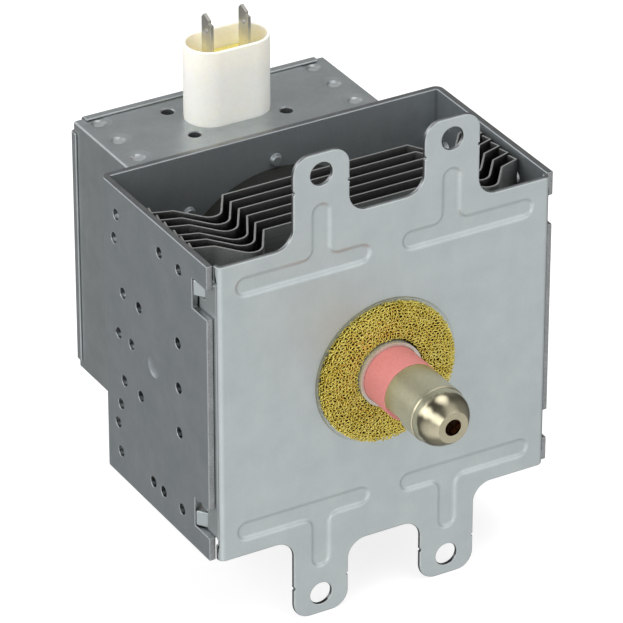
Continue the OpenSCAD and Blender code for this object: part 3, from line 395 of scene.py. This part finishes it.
# %% Non-metals
def grained_solid(name, light, dark, roughness, grain_width, depth, subsurface):
    """A fired, sintered, moulded or cast solid: grain width and relief depth are in mm."""
    material, tree, shader, place = begin(name)
    shader.inputs["Subsurface Weight"].default_value = subsurface
    shader.inputs["Subsurface Radius"].default_value = (1.0, 0.8, 0.5)
    shader.inputs["Subsurface Scale"].default_value = 1.5 * MM
    grain = add(tree, "ShaderNodeTexNoise", {"Scale": 1 / (grain_width * MM), "Detail": 5.0}, {0: place})
    # slow colour change over about 8 mm
    cloud = add(tree, "ShaderNodeTexNoise", {"Scale": 1 / (8 * MM), "Detail": 3.0}, {0: place})
    both = add(
        tree, "ShaderNodeMath", {"operation": "MULTIPLY_ADD", 1: 0.8}, {0: cloud.outputs[0], 2: grain.outputs[0]}
    )
    share = add(tree, "ShaderNodeMapRange", {1: 0.60, 2: 1.20}, {0: both.outputs[0]})
    tone = add(
        tree, "ShaderNodeMix", {"data_type": "RGBA", 6: linear(dark), 7: linear(light)}, {0: share.outputs[0]}
    )
    tree.links.new(tone.outputs[2], shader.inputs["Base Color"])
    gloss = add(
        tree, "ShaderNodeMapRange", {1: 0.3, 2: 0.7, 3: roughness + 0.06, 4: roughness - 0.06},
        {0: grain.outputs[0]},
    )
    tree.links.new(gloss.outputs[0], shader.inputs["Roughness"])
    bump = add(tree, "ShaderNodeBump", {"Strength": 0.25, "Distance": depth * MM}, {"Height": grain.outputs[0]})
    tree.links.new(bump.outputs[0], shader.inputs["Normal"])
    return material


pink_alumina = grained_solid("pink_alumina_fired", "#D08480", "#C47772", 0.62, 0.5, 0.02, 0.10)
white_alumina = grained_solid("white_alumina_fired", "#EDE9E0", "#DDD7CB", 0.55, 0.5, 0.02, 0.10)
sintered_ferrite = grained_solid("sintered_ferrite", "#1E1F1B", "#141511", 0.72, 0.6, 0.05, 0.0)
ivory_plastic = grained_solid("moulded_ivory_plastic", "#F2EFE6", "#ECE8DE", 0.45, 0.8, 0.01, 0.6)
yellow_epoxy = grained_solid("cast_yellow_epoxy", "#F0E184", "#D9C562", 0.30, 1.5, 0.05, 0.30)
print("non-metals ready")

# %% [markdown]
# ## The blades
# The two push-on blades are brass strip with a thin tin plate. Above the case the tin is grey metal. Lower down
# the resin has crept up and covers them with a pale yellow film, which is no metal to the eye. The change follows
# the height, so tone and metal are mixed by the Object coordinate's Z.

# %% Tinned brass
tinned_brass, blade_tree, blade_shader, blade_place = begin("tinned_brass_strip")
blade_height = add(blade_tree, "ShaderNodeSeparateXYZ", {}, {0: blade_place}).outputs["Z"]
blade_wear = add(blade_tree, "ShaderNodeTexNoise", {"Scale": 1 / (1.2 * MM), "Detail": 4.0}, {0: blade_place})
rim_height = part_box("connector_case")[1].z
ragged = add(
    blade_tree, "ShaderNodeMath", {"operation": "MULTIPLY_ADD", 1: 4 * MM},
    {0: blade_wear.outputs[0], 2: blade_height},
)
bared = add(
    blade_tree, "ShaderNodeMapRange", {1: rim_height - 1 * MM, 2: rim_height + 3 * MM}, {0: ragged.outputs[0]}
)
blade_tone = add(
    blade_tree, "ShaderNodeMix", {"data_type": "RGBA", 6: linear("#DCD2A2"), 7: linear("#BDBBB2")},
    {0: bared.outputs[0]},
)
blade_tree.links.new(blade_tone.outputs[2], blade_shader.inputs["Base Color"])
blade_metal = add(blade_tree, "ShaderNodeMath", {"operation": "MULTIPLY", 1: 0.8}, {0: bared.outputs[0]})
blade_tree.links.new(blade_metal.outputs[0], blade_shader.inputs["Metallic"])
blade_gloss = add(blade_tree, "ShaderNodeMapRange", {3: 0.26, 4: 0.44}, {0: blade_wear.outputs[0]})
blade_tree.links.new(blade_gloss.outputs[0], blade_shader.inputs["Roughness"])
print("blades change tone at", round(rim_height / MM, 1), "mm")

# %% [markdown]
# ## Brass wire
# The gasket is knitted from brass wire about 0.12 mm thick. Fresh brass is a bright yellow metal, and between
# the loops it looks nearly black. Two materials share the work: a bright one for the wire and a darker, rougher
# one for the pad under it, whose dark colour is painted shade for the gaps between the loops.

# %% Brass materials
brass_wire = worked_metal("knitted_brass_wire", "#FFF08A", "#E4CE58", 0.20, 0.8, EVEN)
# painted shade: the pad under the loops is dark brown, standing in for the shade between them
painted_shade_brass = worked_metal("brass_pad_painted_shade", "#5C4B14", "#2E2507", 0.60, 0.5, EVEN)
print("brass ready")

# %% [markdown]
# ## Rounding the sheet edges
# A punch rolls the edge of a sheet a little before it cuts, so no edge of a real pressing is sharp, and the small
# round catches a line of light. The loose triangles of a solid are merged into whole faces first. A Bevel
# modifier then rounds the edges that are sharper than an angle, and a Weighted Normal modifier keeps the large faces
# flat to the eye. The result is kept as a plain mesh, and this finished copy stands for the solid. Faces that a punch
# has cut get the bare steel, and a reshaping may move points before the edges are rounded.

# %% Dressing tool
# points closer than this are one point, and faces that turn less than this are one face
MERGE, FLAT = 0.002 * MM, math.radians(0.4)


def dress(node, material, roll, round_from=50, smooth_to=32, sheared=None, reshape=None):
    """A merged copy of a solid in place of it, with its edges rounded by roll, in mm.

    Edges from round_from degrees are rounded, and edges up to smooth_to degrees are shaded smooth. The test sheared
    takes a face's middle in mm and its normal, and tells whether a punch has cut it. The function reshape takes a
    point in mm and returns where it goes.
    """
    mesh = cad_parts[node].data.copy()
    # the loose triangles bring normals of their own, which no longer fit merged faces
    if "custom_normal" in mesh.attributes:
        mesh.attributes.remove(mesh.attributes["custom_normal"])
    work = bmesh.new()
    work.from_mesh(mesh)
    bmesh.ops.remove_doubles(work, verts=work.verts, dist=MERGE)
    if reshape:
        for vertex in work.verts:
            vertex.co = reshape(vertex.co / MM) * MM
    bmesh.ops.dissolve_limit(work, angle_limit=FLAT, verts=work.verts, edges=work.edges)
    for face in work.faces:
        face.smooth = True
    work.to_mesh(mesh)
    work.free()
    mesh.materials.clear()
    mesh.materials.append(material)
    if sheared:
        mesh.materials.append(sheared_steel)
        for polygon in mesh.polygons:
            polygon.material_index = int(sheared(polygon.center / MM, polygon.normal))
    mesh.set_sharp_from_angle(angle=math.radians(smooth_to))
    piece = bpy.data.objects.new(f"{node}_dressed", mesh)
    scene.collection.objects.link(piece)
    if roll:
        rounding = piece.modifiers.new("rounding", "BEVEL")
        rounding.width = roll * MM
        rounding.segments = 2
        rounding.limit_method = "ANGLE"
        rounding.angle_limit = math.radians(round_from)
        rounding.use_clamp_overlap = False
        rounding.harden_normals = True
        # a shallow dish in a large face stays crisp
        weighting = piece.modifiers.new("weighting", "WEIGHTED_NORMAL")
        weighting.keep_sharp = True
        rounded = bpy.data.meshes.new_from_object(piece.evaluated_get(bpy.context.evaluated_depsgraph_get()))
        piece.modifiers.clear()
        piece.data = rounded
    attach(piece, "root")
    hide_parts(node)
    return piece


print(len(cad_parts), "solids could be dressed")

# %% Where a punch has cut
# the ears start here, from the axis, and the yoke's walls start here, in mm
EAR_FOOT, WALL_INSIDE = 38.0, 44.9


def plate_cut(at, facing):
    """The outline and the holes of the ears."""
    return abs(at.z) > EAR_FOOT and abs(facing.y) < 0.3


def yoke_cut(at, facing):
    """The rims of the walls and of the back."""
    return abs(facing.z) > 0.9 or (abs(at.x) > WALL_INSIDE and facing.y < -0.9)


print("ears start", EAR_FOOT, "mm from the axis")

# %% [markdown]
# ## Folding the box tighter
# The filter box is thin sheet, folded nearly sharp, and a tight fold shows as one thin bright line. The solid's folds
# are rounder. The round points of a fold lie on two arcs, the sheet's outer and inner face, so each point is drawn to
# the same angle on a smaller arc that touches the same two walls. The walls stay where they are.

# %% Tight folds
# half the box's width and height, and its sheet, in mm
BOX_X, BOX_Z, BOX_SHEET = 35.0, 34.4, 0.8
SOLID_FOLD, REAL_FOLD, INNER_FOLD = 2.0, 0.6, 0.05


def folded_tight(at):
    """Draws a point of the box's folds in, and leaves any other point."""
    arm = Vector((abs(at.x) - BOX_X + SOLID_FOLD, abs(at.z) - BOX_Z + SOLID_FOLD))
    if min(arm) < -0.001 or arm.length > SOLID_FOLD + 0.01:
        return at
    # 0 at the sheet's inner face, 1 at its outer face
    share = (arm.length - SOLID_FOLD + BOX_SHEET) / BOX_SHEET
    radius = INNER_FOLD + share * (REAL_FOLD - INNER_FOLD)
    inset = radius + (1.0 - share) * BOX_SHEET
    tight = arm * (radius / arm.length)
    x, z = BOX_X - inset + tight.x, BOX_Z - inset + tight.y
    return Vector((math.copysign(x, at.x), at.y, math.copysign(z, at.z)))


print("folds drawn in from", SOLID_FOLD, "to", REAL_FOLD, "mm")

# %% [markdown]
# ## The pieces that show
# The four pressings come first. The plate's beads have walls of less than 40 degrees, so it is rounded from a lower
# angle than the others. The fins are thin strip, too thin for a round edge, and only need whole faces. The moulded
# case, the blades and the sintered magnets follow.

# %% Pressed steel
pressings = [
    dress("mounting_plate", plate_zinc, 0.36, round_from=34, smooth_to=14, sheared=plate_cut),
    dress("yoke", yoke_zinc, 0.22, smooth_to=20, sheared=yoke_cut),
    dress("filter_box", box_zinc, 0.15, smooth_to=8, reshape=folded_tight),
    dress("filter_cover", box_zinc, 0.15),
]
for piece in pressings:
    print(piece.name, len(piece.data.polygons), "faces")

# %% Fins
fins = [dress(f"fin_{index}", rolled_aluminium, 0.0) for index in range(1, 7)]
print(len(fins), "fins dressed")

# %% Connector and magnets
for node, material, slot, roll in [
    ("connector_case", ivory_plastic, "ivory_plastic", 0.25),
    ("terminal_left", tinned_brass, "tinned_brass", 0.08),
    ("terminal_right", tinned_brass, "tinned_brass", 0.08),
    ("rear_magnet", sintered_ferrite, "ferrite", 0.4),
    ("front_magnet", sintered_ferrite, "ferrite", 0.4),
]:
    piece = dress(node, material, roll)
    print(piece.name, len(piece.data.polygons), "faces")

# %% [markdown]
# ## The antenna
# A metal cap closes a pink ceramic tube, which stands in a thin sleeve. On the real tube, cap and ceramic are nearly
# flush. The solids step by a few tenths of a millimetre, so each turned piece is drawn in or out across its axis, by
# the share that the photograph shows. Its place along the axis stays.

# %% Antenna
def turned_to(share):
    """A reshaping that changes a turned piece's diameters by a share."""
    return lambda at: Vector((at.x * share, at.y, at.z * share))


for node, material, slot, roll, smooth_to, share in [
    ("antenna_ceramic", pink_alumina, "pink_alumina", 0.15, 32, 0.95),
    ("front_seal_cup", seal_nickel, "seal_metal", 0.06, 32, 0.955),
    ("antenna_cap", drawn_nickel, "nickel", 0.10, 14, 1.06),
]:
    piece = dress(node, material, roll, smooth_to=smooth_to, reshape=turned_to(share))
    print(piece.name, len(piece.data.polygons), "faces")

# %% [markdown]
# ## What is inside
# These solids are right as they are, so they stay and only get their finish.

# %% Inner solids
inside = {
    yellow_epoxy: ["potting_resin"],
    bare_copper: ["anode_cylinder", "anode_vanes", "strap_rings", "exhaust_tube", "antenna_lead",
                  "choke_left", "choke_right"],
    pressed_iron: ["front_pole_piece", "rear_pole_piece", "capacitor_flange"],
    drawn_tungsten: ["filament", "front_end_hat", "rear_end_hat", "centre_lead", "side_lead"],
    white_alumina: ["stem_ceramic", "capacitor_block"],
    seal_nickel: ["rear_seal_cup"],
    sintered_ferrite: ["ferrite_left", "ferrite_right"],
    # the pad under the knit carries the painted shade of the gaps between the loops
    painted_shade_brass: ["rf_gasket"],
}
for material, nodes in inside.items():
    for node in nodes:
        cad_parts[node].data.materials.clear()
        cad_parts[node].data.materials.append(material)
    print(material.name, "on", len(nodes))

# %% [markdown]
# ## The knitted gasket
# The gasket is a pad of knitted brass wire that seals the oven's wave guide. Its loops lie in rows round the
# antenna. Modelling each loop would take a day, so Geometry Nodes do it: a spiral is cut into points one stitch
# apart, each point takes one small hairpin loop of wire, and each loop is turned to point away from the axis with
# some disorder. The last rows are folded back over the edge of the pad, so that no bare pad shows at its side. Every
# size is an input of the tree, and the seed is fixed, so the gasket is the same each run.

# %% Gasket tree
knit = bpy.data.node_groups.new("knitted_ring", "GeometryNodeTree")
sockets = {}
for label, kind in [
    ("Inner Radius", "NodeSocketFloat"), ("Outer Radius", "NodeSocketFloat"), ("Rows", "NodeSocketFloat"),
    ("Stitch", "NodeSocketFloat"), ("Loop Length", "NodeSocketFloat"), ("Loop Width", "NodeSocketFloat"),
    ("Lift", "NodeSocketFloat"), ("Wire Radius", "NodeSocketFloat"), ("Face", "NodeSocketFloat"),
    ("Dome", "NodeSocketFloat"), ("Fold", "NodeSocketFloat"), ("Seed", "NodeSocketInt"),
    ("Wire", "NodeSocketMaterial"),
]:
    sockets[label] = knit.interface.new_socket(name=label, in_out="INPUT", socket_type=kind).identifier
knit.interface.new_socket(name="Geometry", in_out="OUTPUT", socket_type="NodeSocketGeometry")
given = add(knit, "NodeGroupInput").outputs

reach = add(knit, "ShaderNodeMath", {}, {0: given["Outer Radius"], 1: given["Fold"]})
spiral = add(
    knit, "GeometryNodeCurveSpiral", {"Resolution": 48, "Height": 0.0},
    {"Rotations": given["Rows"], "Start Radius": given["Inner Radius"], "End Radius": reach.outputs[0]},
)
path = add(
    knit, "GeometryNodeResampleCurve", {"mode": "LENGTH"},
    {"Curve": spiral.outputs[0], "Length": given["Stitch"]},
)
print("path and", len(sockets), "inputs")

# %% Where each stitch goes
spot = add(knit, "GeometryNodeInputPosition").outputs[0]
radius = add(knit, "ShaderNodeVectorMath", {"operation": "LENGTH"}, {0: spot})
# what lies past the outer radius is folded back over the pad's edge
held = add(knit, "ShaderNodeMath", {"operation": "MINIMUM"}, {0: radius.outputs["Value"], 1: given["Outer Radius"]})
over = add(knit, "ShaderNodeMath", {"operation": "SUBTRACT"}, {0: radius.outputs["Value"], 1: held.outputs[0]})
pull = add(knit, "ShaderNodeMath", {"operation": "DIVIDE"}, {0: held.outputs[0], 1: radius.outputs["Value"]})
drawn_in = add(knit, "ShaderNodeVectorMath", {"operation": "SCALE"}, {0: spot, "Scale": pull.outputs[0]})
flat = add(knit, "ShaderNodeSeparateXYZ", {}, {0: drawn_in.outputs[0]})
across = add(
    knit, "ShaderNodeMapRange", {3: -1.0, 4: 1.0},
    {0: held.outputs[0], 1: given["Inner Radius"], 2: given["Outer Radius"]},
)
bow = add(knit, "ShaderNodeMath", {"operation": "MULTIPLY"}, {0: across.outputs[0], 1: across.outputs[0]})
depth = add(knit, "ShaderNodeMath", {}, {0: given["Face"], 1: over.outputs[0]})
crown = add(
    knit, "ShaderNodeMath", {"operation": "MULTIPLY_ADD"},
    {0: bow.outputs[0], 1: given["Dome"], 2: depth.outputs[0]},
)
stood = add(knit, "ShaderNodeCombineXYZ", {}, {"X": flat.outputs["X"], "Y": crown.outputs[0], "Z": flat.outputs["Y"]})
laid = add(knit, "GeometryNodeSetPosition", {}, {"Geometry": path.outputs[0], "Position": stood.outputs[0]})
bearing = add(knit, "ShaderNodeMath", {"operation": "ARCTAN2"}, {0: flat.outputs["Y"], 1: flat.outputs["X"]})
print("stitches laid on the dome")

# %% One loop, and all of them
# a loop leans by up to these angles about X, Y and Z, in radians
SWING = (0.45, 0.90, 0.40)
loop = add(
    knit, "GeometryNodeCurvePrimitiveBezierSegment",
    {"Resolution": 6, "Start": (-0.5, 0.0, -0.5), "Start Handle": (0.85, -1.3, -0.7),
     "End Handle": (0.85, -1.3, 0.7), "End": (-0.5, 0.0, 0.5)},
)
loop_size = add(
    knit, "ShaderNodeCombineXYZ", {},
    {"X": given["Loop Length"], "Y": given["Lift"], "Z": given["Loop Width"]},
)
sized = add(knit, "GeometryNodeTransform", {}, {"Geometry": loop.outputs[0], "Scale": loop_size.outputs[0]})
round_wire = add(knit, "GeometryNodeCurvePrimitiveCircle", {"Resolution": 4}, {"Radius": given["Wire Radius"]})
hairpin = add(knit, "GeometryNodeCurveToMesh", {}, {"Curve": sized.outputs[0], "Profile Curve": round_wire.outputs[0]})
layers = add(knit, "GeometryNodeJoinGeometry")
for layer, half_turn in enumerate((0.0, math.pi)):
    # the second layer points inwards, as the loops of the back of the knit do
    swing = add(
        knit, "FunctionNodeRandomValue",
        {"data_type": "FLOAT_VECTOR", 0: [-angle for angle in SWING], 1: SWING}, {"Seed": given["Seed"]},
    )
    order = add(knit, "GeometryNodeInputIndex")
    knot = add(knit, "ShaderNodeMath", {"operation": "MULTIPLY_ADD", 1: 2.0, 2: float(layer)}, {0: order.outputs[0]})
    knit.links.new(knot.outputs[0], swing.inputs["ID"])
    outward = add(knit, "ShaderNodeMath", {"operation": "SUBTRACT", 0: half_turn}, {1: bearing.outputs[0]})
    aim = add(knit, "ShaderNodeCombineXYZ", {}, {"Y": outward.outputs[0]})
    turned = add(knit, "ShaderNodeVectorMath", {}, {0: aim.outputs[0], 1: swing.outputs[0]})
    planted = add(
        knit, "GeometryNodeInstanceOnPoints", {},
        {"Points": laid.outputs[0], "Instance": hairpin.outputs[0], "Rotation": turned.outputs[0]},
    )
    knit.links.new(planted.outputs[0], layers.inputs[0])
whole = add(knit, "GeometryNodeRealizeInstances", {}, {0: layers.outputs[0]})
soft = add(knit, "GeometryNodeSetShadeSmooth", {}, {0: whole.outputs[0]})
gilded = add(knit, "GeometryNodeSetMaterial", {}, {"Geometry": soft.outputs[0], "Material": given["Wire"]})
add(knit, "NodeGroupOutput", {}, {0: gilded.outputs[0]})
print("gasket tree has", len(knit.nodes), "nodes")

# %% Knit the gasket
pad_low, pad_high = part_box("rf_gasket")
carrier = bpy.data.objects.new("gasket_knit", bpy.data.meshes.new("gasket_knit"))
scene.collection.objects.link(carrier)
knitting = carrier.modifiers.new("knit", "NODES")
knitting.node_group = knit
sizes = {
    "Inner Radius": 8.75 * MM, "Outer Radius": 17.6 * MM, "Rows": 11.9, "Stitch": 1.0 * MM,
    "Loop Length": 1.35 * MM, "Loop Width": 0.75 * MM, "Lift": 0.40 * MM,
    # the real wire is about half as thick: it is drawn coarser so that it shows
    "Wire Radius": 0.14 * MM,
    "Face": pad_low.y, "Dome": 0.35 * MM, "Fold": 1.5 * MM, "Seed": 7,
}
for label, value in sizes.items():
    knitting[sockets[label]] = value
knitting[sockets["Wire"]] = brass_wire
knitted = bpy.data.meshes.new_from_object(carrier.evaluated_get(bpy.context.evaluated_depsgraph_get()))
carrier.modifiers.clear()
carrier.data = knitted
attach(carrier, "root")
print("gasket", len(knitted.polygons), "faces")
